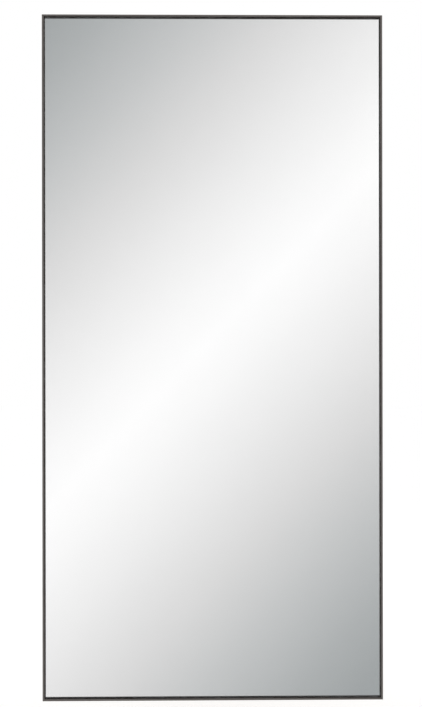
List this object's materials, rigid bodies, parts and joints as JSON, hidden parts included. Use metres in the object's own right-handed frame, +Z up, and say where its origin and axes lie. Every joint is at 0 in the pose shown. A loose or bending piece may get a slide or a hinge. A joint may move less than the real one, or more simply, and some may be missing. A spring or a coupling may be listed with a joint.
{
  "type": "full-length mirror",
  "caption": "Tall wall mirror in a very thin dark bronze metal section frame with mitred corners, a backing board, and swinging D-ring hangers behind.",
  "frame": {"origin": "on the wall plane, midway between the two wall hooks and level with their tops; the mirror's top edge is 380 mm above it", "axes": "+Z up, +Y into the wall so that the glass faces -Y, +X to the right of someone looking at the glass"},
  "size_m": [0.76, 0.034, 1.53],
  "materials": {
    "frame_bronze": "dark bronze anodised, fine brushed grain along the length",
    "gasket_black": "matt black extruded rubber",
    "mirror_silver": "silvered glass, polished, with a ground arris",
    "film_grey": "grey safety film over the silvering",
    "board_fibre": "raw medium-density fibreboard",
    "packer_plastic": "black moulded packers",
    "spring_steel": "blued spring strip",
    "corner_steel": "zinc-plated steel",
    "hanger_zinc": "bright zinc-plated steel",
    "bumper_rubber": "soft grey translucent rubber"
  },
  "bodies": {
    "mirror": {"frame_left": "frame_bronze", "frame_right": "frame_bronze", "frame_top": "frame_bronze", "frame_bottom": "frame_bronze", "gasket_left": "gasket_black", "gasket_right": "gasket_black", "gasket_top": "gasket_black", "gasket_bottom": "gasket_black", "mirror_glass": "mirror_silver", "safety_film": "film_grey", "backing_board": "board_fibre", "setting_blocks": "packer_plastic", "side_spacers": "packer_plastic", "spring_clips": "spring_steel", "corner_plate_bottom_left": "corner_steel", "corner_plate_bottom_right": "corner_steel", "corner_plate_top_right": "corner_steel", "corner_plate_top_left": "corner_steel", "corner_shim_bottom_left": "corner_steel", "corner_shim_bottom_right": "corner_steel", "corner_shim_top_right": "corner_steel", "corner_shim_top_left": "corner_steel", "corner_set_screws": "corner_steel", "hanger_strap_left": "hanger_zinc", "hanger_strap_right": "hanger_zinc", "hanger_screws": "hanger_zinc", "wall_bumpers": "bumper_rubber"},
    "ring_left": {"hanger_ring_left": "hanger_zinc"},
    "ring_right": {"hanger_ring_right": "hanger_zinc"}
  },
  "joints": [
    {"name": "ring_left_swing", "type": "hinge", "parent": "mirror", "child": "ring_left", "pos_m": [-0.3, -0.00925, -0.02048], "axis": [-1, 0, 0], "range_deg": [0, 182]},
    {"name": "ring_right_swing", "type": "hinge", "parent": "mirror", "child": "ring_right", "pos_m": [0.3, -0.00925, -0.02048], "axis": [-1, 0, 0], "range_deg": [0, 182]}
  ]
}
